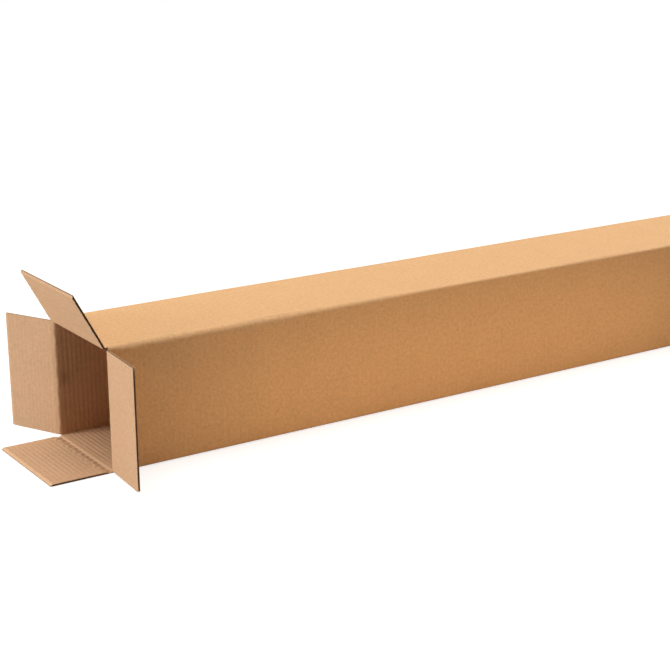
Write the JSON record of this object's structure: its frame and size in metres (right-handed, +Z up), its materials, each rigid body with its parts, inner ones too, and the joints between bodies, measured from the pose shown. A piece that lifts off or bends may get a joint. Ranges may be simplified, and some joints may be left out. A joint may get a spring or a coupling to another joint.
{
  "type": "long cardboard box",
  "caption": "Long square shipping box of corrugated cardboard, lying down with one end shut and the flaps of its other end folded out, for long narrow goods.",
  "frame": {"origin": "middle of the bottom panel's outer face, which the box rests on", "axes": "+X along the box away from the open end, +Y from the front panel to the back panel, +Z up"},
  "size_m": [1.3104, 0.3078, 0.228],
  "materials": {
    "kraft_board": "matt brown kraft liner"
  },
  "bodies": {
    "box": {"tube": "kraft_board"},
    "top": {"top_flap": "kraft_board"},
    "bottom": {"bottom_flap": "kraft_board"},
    "front": {"front_flap": "kraft_board"},
    "back": {"back_flap": "kraft_board"}
  },
  "joints": [
    {"name": "top_fold", "type": "hinge", "parent": "box", "child": "top", "pos_m": [-0.6158, 0, 0.1584], "axis": [0, 1, 0], "range_deg": [-152, 103]},
    {"name": "bottom_fold", "type": "hinge", "parent": "box", "child": "bottom", "pos_m": [-0.6158, 0, 0], "axis": [0, -1, 0], "range_deg": [-90, 165]},
    {"name": "front_fold", "type": "hinge", "parent": "box", "child": "front", "pos_m": [-0.6124, -0.0792, 0.0792], "axis": [0, 0, 1], "range_deg": [-176, 79]},
    {"name": "back_fold", "type": "hinge", "parent": "box", "child": "back", "pos_m": [-0.6124, 0.0792, 0.0792], "axis": [0, 0, -1], "range_deg": [-154, 101]}
  ]
}
